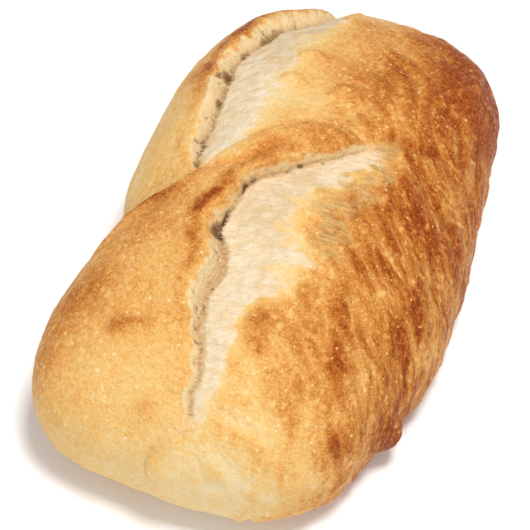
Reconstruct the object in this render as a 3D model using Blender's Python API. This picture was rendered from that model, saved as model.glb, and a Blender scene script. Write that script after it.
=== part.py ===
"""A hand-shaped sourdough loaf: a long rounded block of bread, slashed twice along its top.

One closed solid in metres. +Y runs along the loaf, +X across it, +Z up, and it rests on z = 0.
A cube is cut into a fine grid, drawn out to the plain body of the dough, and then given in turn its
two torn slashes, the folds and wrinkles of its crust and the lumps of its baking. A last pass drops
the faces that flat stretches don't need.
"""

import bmesh
import bpy
import numpy as np

MM = 0.001

# The body: a rounded block that is widest a little above its foot.
LENGTH = 240 * MM
WIDTH = 143 * MM
HEIGHT = 79 * MM
BELLY = 28 * MM  # height at which the loaf is widest
FOOT_SINK = 6 * MM  # how far the dough would bulge below the oven floor, which presses it flat
PLAN_POWER = 4.0  # squareness of the outline seen from above
CROWN_POWER = 2.4  # squareness of the shoulders
FOOT_POWER = 3.6  # squareness of the bottom edge
# How far the outline stands out of that block, in hundredths, at even steps round from +X.
OUTLINE_SWELL = (1.5, 2, -5.5, 2.5, 9, -2.5, 4, 4.5, 3.5, -10.5, 17, -5.5, -0.5, -6.5, -8, 5)
SWELL_SPREAD = 0.9  # width of each swell, in steps

# The grid: faces along each axis before the last pass, and how tall its side walls stand.
GRID = (150, 240, 44)
GRID_WALL = 0.5
KEPT_FACES = 11000  # triangles left by the last pass

# Lines on the crust, as curves through places in millimetres. A place of two values lies on top of
# the body, one of three lies where the ray to it from the middle of the dough comes out.
NEAR_SLASH = (
    (-3, -106), (-3, -98), (-5, -92), (-4, -86), (-6, -79), (-8, -73), (-11, -68), (-12, -62),
    (-14, -54), (-13, -47), (-12, -41), (-14, -33), (-17, -28), (-20, -24), (-20, -19), (-19, -12),
    (-18, -5), (-17, 1), (-13, 6), (-8, 10), (-2, 15), (3, 19), (9, 23), (15, 28), (21, 33), (27, 39),
)
FAR_SLASH = (
    (-39, 2), (-43, 9), (-45, 20), (-45, 27), (-46, 35), (-46, 43), (-48, 50), (-48, 57), (-50, 64),
    (-49, 70), (-47, 76), (-44, 81), (-41, 87), (-39, 93), (-34, 99), (-29, 105), (-25, 110, 56),
    (-22, 115, 50), (-20, 118, 42), (-19, 120, 31),
)
FLAP_EDGE = (
    (30, 44), (22, 39), (12, 40), (-2, 40), (-11, 35), (-22, 27), (-31, 16), (-38, 3), (-46, -7),
    (-54, -14), (-61, -22), (-67, -31, 52), (-71, -36, 34), (-71, -40, 14),
)
UNDER_FOLD = ((-44, 5), (-53, -1), (-61, -8), (-68, -14, 52), (-73, -18, 34), (-73, -20, 14))
BAND_CREASE = ((-37, 0), (-34, 3), (-28, 5), (-21, 9), (-15, 17), (-11, 21), (-5, 20), (2, 18))
STAR_CREASE = ((24, 42), (33, 46), (40, 46), (44, 47), (48, 50), (55, 52))
FRONT_FOLD = (
    (8, -97), (3, -99), (-3, -102), (-10, -107), (-15, -110, 46), (-16, -114, 37), (-14, -115, 27),
    (-10, -116, 12),
)
# Wrinkles down the flank.
WRINKLES = (
    ((28, 45), (33, 43), (39, 40), (45, 37), (54, 28), (58, 20)),
    ((43, 17), (51, 13), (58, 8), (62, 2), (65, -4), (67, -9), (70, -12, 44)),
    ((48, 26), (58, 24), (65, 19), (70, 10, 44)),
    ((49, -24), (57, -31), (62, -38), (67, -43, 45), (69, -50, 30)),
    ((61, -21), (66, -27), (67, -33)),
    ((39, 73), (46, 71), (52, 67), (55, 61), (59, 50)),
    ((54, 81), (59, 73), (63, 61), (68, 48, 42), (71, 34, 32)),
)
WRINKLE_DEPTH, WRINKLE_WIDTH = 1.5, 2.4
CREASE_DEPTH, CREASE_WIDTH = 2.4, 2.4
# Short raised ridges of crust.
RIDGES = (
    ((-5, 52), (-2, 55), (1, 61), (5, 62), (9, 60), (13, 54)),
    ((-24, 56), (-22, 60), (-18, 61), (-14, 57)),
    ((-22, 71), (-20, 76), (-16, 78), (-11, 75)),
    ((-14, 101), (-12, 107), (-7, 110), (-2, 107)),
    ((-17, 103), (-14, 109), (-12, 114, 54), (-10, 119, 47)),
    ((4, -60), (11, -57), (16, -58), (20, -54), (21, -50)),
    ((-57, -28), (-54, -24), (-52, -19), (-48, -14)),
    ((-64, -44, 56), (-61, -36, 60), (-57, -28), (-50, -24)),
    ((-46, -80), (-41, -76), (-35, -73), (-26, -71)),
    ((19, -38), (23, -43), (26, -48)),
    ((30, 27), (34, 21), (38, 14), (40, 6)),
    ((36, 34), (43, 27), (48, 19), (51, 10)),
)
RIDGE_RISE, RIDGE_WIDTH = 0.9, 2.4
KNOB = (68, -56, 20)  # a dark lobe of crust low on the flank
KNOB_HALF = (7, 6, 12)
KNOB_RISE = 6

FLAP_SPREAD = 15  # how far back from its lip a slash's flap is lifted
CRACK_WIDTH = 2.0  # the open crack between a slash's wall and its floor
FLOOR_BULGE = 1.8  # how much a slash's floor bulges as it climbs: 1 is straight
FOLD_BACK = 26  # how far back a fold of crust is lifted
FRONT_FOLD_BACK = 12
RAGGEDNESS = 0.5  # how far a slash's edges wander
RAG_SIZE = 4 * MM
# Height in millimetres and size of the lumps of the whole crust.
LUMPS = ((0.8, 24 * MM), (0.4, 10 * MM))

CRUST_COLOUR = (0.72, 0.36, 0.11, 1)
CRUST_ROUGHNESS = 0.6


def smooth(x):
    """0 below 0, 1 above 1, and an even ease between."""
    x = np.clip(x, 0, 1)
    return x * x * (3 - 2 * x)


def hump(x):
    """1 at 0, falling away on both sides within about 2."""
    return np.exp(-x * x)


def plan_reach(x, y):
    """How far out a place lies seen from above: 0 in the middle, 1 on the widest outline."""
    step = 2 * np.pi / len(OUTLINE_SWELL)
    swell = 1
    for k, percent in enumerate(OUTLINE_SWELL):
        turn = (np.arctan2(y, x) - k * step + np.pi) % (2 * np.pi) - np.pi
        swell = swell + percent / 100 * hump(turn / (SWELL_SPREAD * step))
    across = np.abs(x) / (WIDTH / 2)
    along = np.abs(y) / (LENGTH / 2)
    return (across**PLAN_POWER + along**PLAN_POWER) ** (1 / PLAN_POWER) / swell


def body(points):
    """Where the ray from the middle of the dough through each point leaves the plain body."""
    ray = points - (0, 0, BELLY)
    above = ray[:, 2] > 0
    rise = np.abs(ray[:, 2]) / np.where(above, HEIGHT - BELLY, BELLY + FOOT_SINK)
    power = np.where(above, CROWN_POWER, FOOT_POWER)
    reach = (plan_reach(ray[:, 0], ray[:, 1]) ** power + rise**power) ** (1 / power)
    return ray / reach[:, None] + (0, 0, BELLY)


def on_body(places):
    """Places in millimetres, of two or three values, as points of the body in metres."""
    points = []
    for place in places:
        point = [value * MM for value in place]
        if len(point) == 2:
            left = max(0, 1 - plan_reach(*point) ** CROWN_POWER)
            point.append(BELLY + (HEIGHT - BELLY) * left ** (1 / CROWN_POWER))
        points.append(point)
    return body(np.array(points))


def lumps(points, size, seed):
    """Smooth noise from -1 to 1 with lumps about size across."""
    p = points / size + seed * 17.31
    cell = np.floor(p).astype(np.int64)
    part = p - cell
    part = part * part * part * (part * (part * 6 - 15) + 10)
    total = np.zeros(len(p))
    for corner in np.ndindex(2, 2, 2):
        k = (cell + corner).astype(np.uint32)
        h = k[:, 0] * 73856093 ^ k[:, 1] * 19349663 ^ k[:, 2] * 83492791 ^ np.uint32(seed * 2654435)
        h = (h ^ (h >> 13)) * 1274126177
        h = (h ^ (h >> 16)) & 0xFFFF
        share = np.prod(np.where(corner, part, 1 - part), axis=1)
        total += share * (h / 32767.5 - 1)
    return total


class CrustLine:
    """A smooth curve on the body, with the frame that places what lies beside it."""

    SPACING = 1.2 * MM
    REACH = 55 * MM

    def __init__(self, places):
        knots = on_body(places)
        ends = np.vstack([2 * knots[0] - knots[1], knots, 2 * knots[-1] - knots[-2]])
        count = int(np.linalg.norm(np.diff(knots, axis=0), axis=1).sum() / self.SPACING)
        station = np.linspace(0, len(knots) - 1, count)
        span = np.minimum(station.astype(int), len(knots) - 2)
        u = (station - span)[:, None]
        a, b, c, d = (ends[span + k] for k in range(4))
        bend = (2 * a - 5 * b + 4 * c - d) * u**2 + (3 * b - a - 3 * c + d) * u**3
        self.points = body(0.5 * (2 * b + (c - a) * u + bend))
        steps = np.linalg.norm(np.diff(self.points, axis=0), axis=1)
        run = np.concatenate([[0], np.cumsum(steps)])
        self.share = run / run[-1]
        heading = np.gradient(self.points, axis=0)
        self.heading = heading / np.linalg.norm(heading, axis=1)[:, None]

    def beside(self, points, normals, blur=2.5 * MM):
        """For each point: how far along the line it lies, from 0 to 1, and how far to its right."""
        along = np.zeros(len(points))
        right = np.full(len(points), 1.0)
        low, high = self.points.min(0) - self.REACH, self.points.max(0) + self.REACH
        near = np.nonzero(((points > low) & (points < high)).all(axis=1))[0]
        for part in np.array_split(near, max(1, len(near) // 20000)):
            gap = points[part, None, :] - self.points[None]
            far = np.linalg.norm(gap, axis=2)
            nearest = far.argmin(axis=1)
            least = far[np.arange(len(part)), nearest]
            weight = np.exp(-(far - least[:, None]) / blur)
            along[part] = weight @ self.share / weight.sum(axis=1)
            side = np.cross(self.heading[nearest], normals[part])
            lean = (gap[np.arange(len(part)), nearest] * side).sum(axis=1)
            right[part] = np.where(lean > 0, 1, -1) * least
        return along, right / MM


def stations(values, along):
    """Values given at even stations down a line, read at along."""
    return np.interp(along, np.linspace(0, 1, len(values)), values)


def slash(places, points, normals, lip, wall, depth, floor, reach):
    """How far a slash that tore open in the oven lifts the body, in millimetres: a flap with a raised
    lip on its left, a torn wall down to the crack, and a floor that climbs back to the crust on its
    right. The measures stand at even stations along the slash."""
    along, right = CrustLine(places).beside(points, normals)
    right = right + RAGGEDNESS * lumps(points, RAG_SIZE, seed=3)
    lip, wall, depth, floor, reach = (stations(v, along) for v in (lip, wall, depth, floor, reach))
    crest = lip * hump(np.minimum(right + wall, 0) / FLAP_SPREAD)
    down = smooth((right + wall) / wall)
    bottom = -np.maximum(depth, floor)
    up = smooth(right / CRACK_WIDTH)
    climb = -floor * (1 - np.clip(right / reach, 0, 1)) ** FLOOR_BULGE
    return np.where(right < 0, crest * (1 - down) + bottom * down, bottom * (1 - up) + climb * up)


def fold(places, points, normals, height, front, back):
    """A fold of crust whose left side stands height proud over a front of that width, and sinks back
    to the body over a longer back. Stations and millimetres as in a slash."""
    along, right = CrustLine(places).beside(points, normals)
    height, front = stations(height, along), stations(front, along)
    raised = np.where(right < 0, hump(right / back), 0) * smooth(-right / front)
    crease = 0.3 * hump(right / (0.5 * front))
    return height * (raised - crease)


def furrow(places, points, normals, depth, width):
    """How deep a long furrow that dies out at both ends lies under the body, in millimetres. A ridge
    is as high."""
    along, right = CrustLine(places).beside(points, normals)
    ends = smooth(along * 5) * smooth((1 - along) * 5)
    return depth * ends * hump(right / width)


def vertex_normals(mesh):
    normals = np.zeros(len(mesh.vertices) * 3)
    mesh.vertices.foreach_get("normal", normals)
    return normals.reshape(-1, 3)


def move_to(mesh, points):
    mesh.vertices.foreach_set("co", points.astype(np.float32).ravel())
    mesh.update()


def gridded_cube(name):
    """A cube from -1 to 1 whose faces are cut into an even grid along each axis."""
    bm = bmesh.new()
    bmesh.ops.create_cube(bm, size=2)
    for axis, faces in enumerate(GRID):
        runs = [e for e in bm.edges if abs((e.verts[0].co - e.verts[1].co)[axis]) > 1e-6]
        bmesh.ops.subdivide_edges(bm, edges=runs, cuts=faces - 1, use_grid_fill=True)
    mesh = bpy.data.meshes.new(name)
    bm.to_mesh(mesh)
    bm.free()
    return mesh


def draw_out(mesh):
    """The cube's points moved out to the plain body, at even angles round its middle."""
    cube = np.zeros(len(mesh.vertices) * 3)
    mesh.vertices.foreach_get("co", cube)
    cube = np.tan(cube.reshape(-1, 3) * np.pi / 4)
    half = np.array([WIDTH / 2, LENGTH / 2, GRID_WALL * HEIGHT])
    points = body(cube * half + (0, 0, BELLY))
    move_to(mesh, points)
    return points


def crust_material():
    """A baked golden crust: dry, with a faint sheen."""
    crust = bpy.data.materials.new("crust")
    crust.use_nodes = True
    shader = crust.node_tree.nodes["Principled BSDF"]
    shader.inputs["Base Color"].default_value = CRUST_COLOUR
    shader.inputs["Roughness"].default_value = CRUST_ROUGHNESS
    shader.inputs["Metallic"].default_value = 0
    return crust


def relief(points, normals):
    """How far the finished crust stands off the plain body at each point, in millimetres."""
    near = slash(NEAR_SLASH, points, normals,
                 lip=(0.3, 0.5, 1, 1.5, 2.5, 3, 3, 3, 3, 2.5, 1.5, 0),
                 wall=(1.5, 3, 4.4, 3.6, 8, 8, 5.6, 2, 2.2, 3, 2.5, 2),
                 depth=(0.8, 2, 2.8, 4, 6, 7, 5, 4, 4, 3.5, 2.5, 0),
                 floor=(0, 1, 2, 3, 4, 4.5, 4, 3.5, 3.5, 3, 2, 0),
                 reach=(4, 7, 9, 13, 21, 30, 31, 28, 22, 16, 11, 7))
    far = slash(FAR_SLASH, points, normals,
                lip=(0, 1.5, 2, 2.5, 3, 3, 3, 3, 2.2, 1, 0),
                wall=(2, 4, 5, 5, 4.5, 4.5, 7, 7.5, 5, 3, 2),
                depth=(0, 5, 6, 6, 5.5, 5.5, 7, 6, 5, 3.5, 0),
                floor=(0, 3.5, 4, 4, 4, 4, 4.5, 4.5, 4.5, 3.5, 0),
                reach=(8, 16, 22, 26, 28, 28, 25, 20, 11, 7, 5))
    flap = fold(FLAP_EDGE, points, normals,
                height=(0, 1.5, 2.5, 3, 3, 2.5, 2.5, 3.5, 4, 3.5, 2.5, 2, 1.5, 0),
                front=(6, 6, 5, 4, 4, 4, 2.5, 2, 2, 2.2, 3, 4, 5, 6), back=FOLD_BACK)
    under = fold(UNDER_FOLD, points, normals, height=(0, 0.5, 1.5, 2, 2, 1, 0), front=(5, 5), back=FOLD_BACK)
    front = fold(FRONT_FOLD, points, normals,
                 height=(0, 0.6, 0.8, 1, 1.2, 1, 0.5, 0), front=(3, 3), back=FRONT_FOLD_BACK)
    height = near + far + flap + under + front
    for places in (BAND_CREASE, STAR_CREASE):
        height -= furrow(places, points, normals, CREASE_DEPTH, CREASE_WIDTH)
    for places in WRINKLES:
        height -= furrow(places, points, normals, WRINKLE_DEPTH, WRINKLE_WIDTH)
    for places in RIDGES:
        height += furrow(places, points, normals, RIDGE_RISE, RIDGE_WIDTH)
    height += KNOB_RISE * hump(np.linalg.norm((points / MM - KNOB) / KNOB_HALF, axis=1))
    for seed, (rise, size) in enumerate(LUMPS, start=1):
        height += rise * lumps(points, size, seed)
    return height


def build_loaf():
    mesh = gridded_cube("loaf")
    points = draw_out(mesh)
    normals = vertex_normals(mesh)
    points = points + relief(points, normals)[:, None] * MM * normals
    points[:, 2] = np.maximum(points[:, 2], 0)
    points[:, :2] -= (points[:, :2].min(0) + points[:, :2].max(0)) / 2
    move_to(mesh, points)
    mesh.materials.append(crust_material())
    loaf = bpy.data.objects.new("loaf", mesh)
    bpy.context.collection.objects.link(loaf)
    thin = loaf.modifiers.new("thin_out", "DECIMATE")
    thin.ratio = KEPT_FACES / (2 * len(mesh.polygons))
    return loaf


for old in list(bpy.data.objects):
    bpy.data.objects.remove(old)
build_loaf()
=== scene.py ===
"""A hand-shaped sourdough loaf on a pale floor, seen from above its near end."""

import bmesh
import bpy
import numpy as np
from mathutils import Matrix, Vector


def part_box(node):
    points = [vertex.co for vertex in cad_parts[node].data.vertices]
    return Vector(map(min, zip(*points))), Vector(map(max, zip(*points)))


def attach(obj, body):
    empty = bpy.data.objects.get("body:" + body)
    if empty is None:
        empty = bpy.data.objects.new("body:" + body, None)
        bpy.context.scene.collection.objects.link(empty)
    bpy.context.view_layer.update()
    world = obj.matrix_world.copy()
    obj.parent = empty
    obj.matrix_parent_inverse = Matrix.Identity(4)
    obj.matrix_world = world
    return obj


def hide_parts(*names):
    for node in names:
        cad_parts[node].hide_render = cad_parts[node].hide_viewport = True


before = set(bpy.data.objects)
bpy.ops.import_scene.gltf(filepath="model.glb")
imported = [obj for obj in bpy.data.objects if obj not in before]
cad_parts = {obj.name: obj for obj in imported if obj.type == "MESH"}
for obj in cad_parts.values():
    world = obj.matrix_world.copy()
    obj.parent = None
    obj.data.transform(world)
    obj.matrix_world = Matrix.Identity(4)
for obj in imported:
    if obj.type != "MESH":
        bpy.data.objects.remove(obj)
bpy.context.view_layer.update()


# ---- The loaf ----
# One lump of white sourdough, shaped by hand into a long block and baked on a hot stone. The baker
# slashed it twice. Each slash tore open as the loaf rose: its left side stands up as a flap with a
# torn wall below it, and on its right the stretched inside of the dough climbs back to the crust.

MM = 0.001

# Its body: a rounded block that is widest a little above its foot.
LENGTH = 240 * MM
WIDTH = 143 * MM
HEIGHT = 79 * MM
BELLY = 28 * MM  # height at which the loaf is widest
FOOT_SINK = 6 * MM  # how far the dough would bulge below the oven floor, which presses it flat
PLAN_POWER = 4.0  # squareness of the outline seen from above
CROWN_POWER = 2.4  # squareness of the shoulders
FOOT_POWER = 3.6  # squareness of the bottom edge
# How far the outline stands out of that block, in hundredths, at even steps round from +X.
OUTLINE_SWELL = (1.5, 2, -5.5, 2.5, 9, -2.5, 4, 4.5, 3.5, -10.5, 17, -5.5, -0.5, -6.5, -8, 5)
SWELL_SPREAD = 0.9  # width of each swell, in steps


def smooth(x):
    """0 below 0, 1 above 1, and an even ease between."""
    x = np.clip(x, 0, 1)
    return x * x * (3 - 2 * x)


def hump(x):
    """1 at 0, falling away on both sides within about 2."""
    return np.exp(-x * x)


def plan_reach(x, y):
    """How far out a place lies seen from above: 0 in the middle, 1 on the widest outline."""
    step = 2 * np.pi / len(OUTLINE_SWELL)
    swell = 1
    for k, percent in enumerate(OUTLINE_SWELL):
        turn = (np.arctan2(y, x) - k * step + np.pi) % (2 * np.pi) - np.pi
        swell = swell + percent / 100 * hump(turn / (SWELL_SPREAD * step))
    across = np.abs(x) / (WIDTH / 2)
    along = np.abs(y) / (LENGTH / 2)
    return (across**PLAN_POWER + along**PLAN_POWER) ** (1 / PLAN_POWER) / swell


def body(points):
    """Where the ray from the middle of the dough through each point leaves the plain body."""
    ray = points - (0, 0, BELLY)
    above = ray[:, 2] > 0
    rise = np.abs(ray[:, 2]) / np.where(above, HEIGHT - BELLY, BELLY + FOOT_SINK)
    power = np.where(above, CROWN_POWER, FOOT_POWER)
    reach = (plan_reach(ray[:, 0], ray[:, 1]) ** power + rise**power) ** (1 / power)
    return ray / reach[:, None] + (0, 0, BELLY)


def on_body(places):
    """Places in millimetres as points of the body in metres. A place of two values lies on top of the
    body, one of three lies where the ray to it from the middle of the dough comes out."""
    points = []
    for place in places:
        point = [value * MM for value in place]
        if len(point) == 2:
            left = max(0, 1 - plan_reach(*point) ** CROWN_POWER)
            point.append(BELLY + (HEIGHT - BELLY) * left ** (1 / CROWN_POWER))
        points.append(point)
    return body(np.array(points))


# Its skin is uneven at every size, from the lumps of the dough down to the fibres of a tear.
DICE_PRIMES = (73856093, 19349663, 83492791)  # they scatter neighbouring cells of a grid
DICE_SEED, DICE_STIR = 2654435, 1274126177
LUMP_SHIFT, BLISTER_SHIFT = 17.31, 5.77  # how far each seed moves a pattern, in its own lumps


def dice(cell, seed):
    """An even random number from 0 to 1 for each cell of a grid."""
    k = cell.astype(np.uint32)
    h = k[:, 0] * DICE_PRIMES[0] ^ k[:, 1] * DICE_PRIMES[1] ^ k[:, 2] * DICE_PRIMES[2]
    h = h ^ np.uint32(seed * DICE_SEED)
    h = (h ^ (h >> 13)) * DICE_STIR
    return ((h ^ (h >> 16)) & 0xFFFF) / 0xFFFF


def lumps(points, size, seed):
    """Smooth noise from -1 to 1 with lumps about size across."""
    p = points / size + seed * LUMP_SHIFT
    cell = np.floor(p).astype(np.int64)
    part = p - cell
    part = part * part * part * (part * (part * 6 - 15) + 10)
    total = np.zeros(len(p))
    for corner in np.ndindex(2, 2, 2):
        share = np.prod(np.where(corner, part, 1 - part), axis=1)
        total += share * (2 * dice(cell + corner, seed) - 1)
    return total


def strands(points, across, size, stretch, seed):
    """The same noise drawn out into strands that lie square to a direction."""
    across = np.array(across) / np.linalg.norm(across)
    lean = (points @ across) * (1 - 1 / stretch)
    return lumps(points / stretch + lean[:, None] * across, size, seed)


def stirred(points, size, much, seed):
    """The points pushed about by smooth noise, so that what is drawn on them comes out uneven."""
    return points + much * np.stack([lumps(points, size, seed + k) for k in range(3)], axis=1)


def blisters(points, size, share, seed):
    """Round blisters from 0 to 1 high, one in that share of the cells of a grid."""
    p = points / size + seed * BLISTER_SHIFT
    cell = np.floor(p).astype(np.int64)
    height = np.zeros(len(p))
    for step in np.ndindex(3, 3, 3):
        near = cell + np.array(step) - 1
        middle = near + np.stack([dice(near, seed + k) for k in (1, 2, 3)], axis=1)
        radius = 0.25 + 0.3 * dice(near, seed + 4)
        there = dice(near, seed + 5) < share
        gap = np.linalg.norm(p - middle, axis=1) / radius
        height = np.maximum(height, np.where(there, np.clip(1 - gap * gap, 0, 1), 0))
    return height


class CrustLine:
    """A smooth curve on the body, with the frame that places what lies beside it."""

    SPACING = 1.2 * MM
    BATCH = 20000  # how many points are measured against the line at a time

    def __init__(self, places, reach=55 * MM):
        self.reach = reach
        knots = on_body(places)
        ends = np.vstack([2 * knots[0] - knots[1], knots, 2 * knots[-1] - knots[-2]])
        count = int(np.linalg.norm(np.diff(knots, axis=0), axis=1).sum() / self.SPACING)
        station = np.linspace(0, len(knots) - 1, count)
        span = np.minimum(station.astype(int), len(knots) - 2)
        u = (station - span)[:, None]
        a, b, c, d = (ends[span + k] for k in range(4))
        bend = (2 * a - 5 * b + 4 * c - d) * u**2 + (3 * b - a - 3 * c + d) * u**3
        self.points = body(0.5 * (2 * b + (c - a) * u + bend))
        steps = np.linalg.norm(np.diff(self.points, axis=0), axis=1)
        run = np.concatenate([[0], np.cumsum(steps)])
        self.share = run / run[-1]
        heading = np.gradient(self.points, axis=0)
        self.heading = heading / np.linalg.norm(heading, axis=1)[:, None]

    def gaps(self, points):
        """The points within reach of the line, in parts, each with its gap to every station."""
        low, high = self.points.min(0) - self.reach, self.points.max(0) + self.reach
        near = np.nonzero(((points > low) & (points < high)).all(axis=1))[0]
        for part in np.array_split(near, max(1, len(near) // self.BATCH)):
            yield part, points[part, None, :] - self.points[None]

    def beside(self, points, normals, blur=2.5 * MM):
        """For each point: how far along the line it lies, from 0 to 1, and how far to its right."""
        along = np.zeros(len(points))
        right = np.full(len(points), 1.0)
        for part, gap in self.gaps(points):
            far = np.linalg.norm(gap, axis=2)
            nearest = far.argmin(axis=1)
            least = far[np.arange(len(part)), nearest]
            weight = np.exp(-(far - least[:, None]) / blur)
            along[part] = weight @ self.share / weight.sum(axis=1)
            side = np.cross(self.heading[nearest], normals[part])
            lean = (gap[np.arange(len(part)), nearest] * side).sum(axis=1)
            right[part] = np.where(lean > 0, 1, -1) * least
        return along, right / MM

    def drawn_in(self, points, share, width):
        """The points crowded towards the line, to give its detail more faces."""
        moved = points.copy()
        for part, gap in self.gaps(points):
            far = np.linalg.norm(gap, axis=2)
            nearest = far.argmin(axis=1)
            least = gap[np.arange(len(part)), nearest]
            pull = share * hump(np.linalg.norm(least, axis=1) / width)
            moved[part] -= least * pull[:, None]
        return body(moved)


def stations(values, along):
    """Values given at even stations down a line, read at along."""
    return np.interp(along, np.linspace(0, 1, len(values)), values)


# The lines on its crust, in millimetres. The left-hand side of each slash and fold, looking down the
# line, stands proud.
NEAR_SLASH = (
    (-3, -106), (-3, -98), (-5, -92), (-4, -86), (-6, -79), (-8, -73), (-11, -68), (-12, -62),
    (-14, -54), (-13, -47), (-12, -41), (-14, -33), (-17, -28), (-20, -24), (-20, -19), (-19, -12),
    (-18, -5), (-17, 1), (-13, 6), (-8, 10), (-2, 15), (3, 19), (9, 23), (15, 28), (21, 33), (27, 39),
)
FAR_SLASH = (
    (-39, 2), (-43, 9), (-45, 20), (-45, 27), (-46, 35), (-46, 43), (-48, 50), (-48, 57), (-50, 64),
    (-49, 70), (-47, 76), (-44, 81), (-41, 87), (-39, 93), (-34, 99), (-29, 105), (-25, 110, 56),
    (-22, 115, 50), (-20, 118, 42), (-19, 120, 31),
)
FLAP_EDGE = (
    (30, 44), (22, 39), (12, 40), (-2, 40), (-11, 35), (-22, 27), (-31, 16), (-38, 3), (-46, -7),
    (-54, -14), (-61, -22), (-67, -31, 52), (-71, -36, 34), (-71, -40, 14),
)
UNDER_FOLD = ((-44, 5), (-53, -1), (-61, -8), (-68, -14, 52), (-73, -18, 34), (-73, -20, 14))
BAND_CREASE = ((-37, 0), (-34, 3), (-28, 5), (-21, 9), (-15, 17), (-11, 21), (-5, 20), (2, 18))
STAR_CREASE = ((24, 42), (33, 46), (40, 46), (44, 47), (48, 50), (55, 52))
FRONT_FOLD = (
    (8, -97), (3, -99), (-3, -102), (-10, -107), (-15, -110, 46), (-16, -114, 37), (-14, -115, 27),
    (-10, -116, 12),
)
WRINKLES = (
    ((28, 45), (33, 43), (39, 40), (45, 37), (54, 28), (58, 20)),
    ((43, 17), (51, 13), (58, 8), (62, 2), (65, -4), (67, -9), (70, -12, 44)),
    ((48, 26), (58, 24), (65, 19), (70, 10, 44)),
    ((49, -24), (57, -31), (62, -38), (67, -43, 45), (69, -50, 30)),
    ((61, -21), (66, -27), (67, -33)),
    ((39, 73), (46, 71), (52, 67), (55, 61), (59, 50)),
    ((54, 81), (59, 73), (63, 61), (68, 48, 42), (71, 34, 32)),
)
RIDGES = (
    ((-5, 52), (-2, 55), (1, 61), (5, 62), (9, 60), (13, 54)),
    ((-24, 56), (-22, 60), (-18, 61), (-14, 57)),
    ((-22, 71), (-20, 76), (-16, 78), (-11, 75)),
    ((-14, 101), (-12, 107), (-7, 110), (-2, 107)),
    ((-17, 103), (-14, 109), (-12, 114, 54), (-10, 119, 47)),
    ((4, -60), (11, -57), (16, -58), (20, -54), (21, -50)),
    ((-57, -28), (-54, -24), (-52, -19), (-48, -14)),
    ((-64, -44, 56), (-61, -36, 60), (-57, -28), (-50, -24)),
    ((-46, -80), (-41, -76), (-35, -73), (-26, -71)),
    ((19, -38), (23, -43), (26, -48)),
    ((30, 27), (34, 21), (38, 14), (40, 6)),
    ((36, 34), (43, 27), (48, 19), (51, 10)),
)

# The directions square to the strands of the two floors and to the wrinkles of the right flank.
NEAR_GRAIN = (-0.08, 1, 0)
FAR_GRAIN = (-0.5, 0.87, 0)
FLANK_GRAIN = (0.65, 0.75, -0.22)


class Crust:
    """The points of the body, how far the crust stands off each of them, in millimetres, and what it looks
    like there. The look holds how browned it is, from 0 to 1 how far it is each surface, and how much
    painted shade lies on it: darker down a wall, beside a crack and in it, in pockets and pits, and dimmer
    on the floors."""

    SURFACES = ("bake", "crumb", "wall", "deep", "shade", "pocket", "dark", "thin", "dim_shade")

    def __init__(self, points, normals):
        self.points = points
        self.normals = normals
        self.height = np.zeros(len(points))
        self.look = {name: np.zeros(len(points)) for name in self.SURFACES}
        self.stirred = stirred(points, 14 * MM, 3 * MM, seed=90)
        self.x, self.y = points[:, 0] / MM, points[:, 1] / MM

    def show(self, name, values):
        """A surface shows wherever one of the forms shows it."""
        self.look[name] = np.maximum(self.look[name], values)

    def torn(self):
        """How far each point is torn open, from 0 to 1."""
        return np.maximum(self.look["crumb"], self.look["wall"])


# Its two slashes.
FLAP_SPREAD = 15  # how far back from its lip a slash's flap is lifted
CRACK_WIDTH = 2.0  # the open crack between a slash's wall and its floor
FLOOR_SHOWN = 1.08  # how far up a floor is torn: the rest is stretched skin
FLOOR_BULGE = 1.8  # how much a slash's floor bulges as it climbs: 1 is straight
FLOOR_PALER = 0.30  # how much paler the skin is where a floor runs out into it
TOAST_BACK, TOAST_WIDTH = 3.4, 2.8  # how far back from its wall a slash's lip is toasted, how wide
SLASH_ENDS, FURROW_ENDS = 14, 5  # one part in this many of a line is its end, where it dies out
RAGS = ((0.5, 4 * MM, 3), (0.25, 1.8 * MM, 4))  # how far a slash's edges wander, size and seed
FRAY, FRAY_SIZE = 0.45, 1.9 * MM  # how far the fibres of a floor stick out over its crack
FIBRES = ((0.12, 1.3 * MM, 6), (0.16, 2.8 * MM, 4), (0.15, 8 * MM, 2.5))  # height, width and stretch
CRUMB_ROUGH, CRUMB_SIZE = 0.22, 1.8 * MM  # the torn crumb of a wall
PIT_DEPTH, PIT_SIZE, PIT_SHADE = 0.9, 2.6 * MM, 0.45  # small holes in that crumb
POCKET_DEPTH = 1.2  # the larger hollows beside a crack


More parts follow.
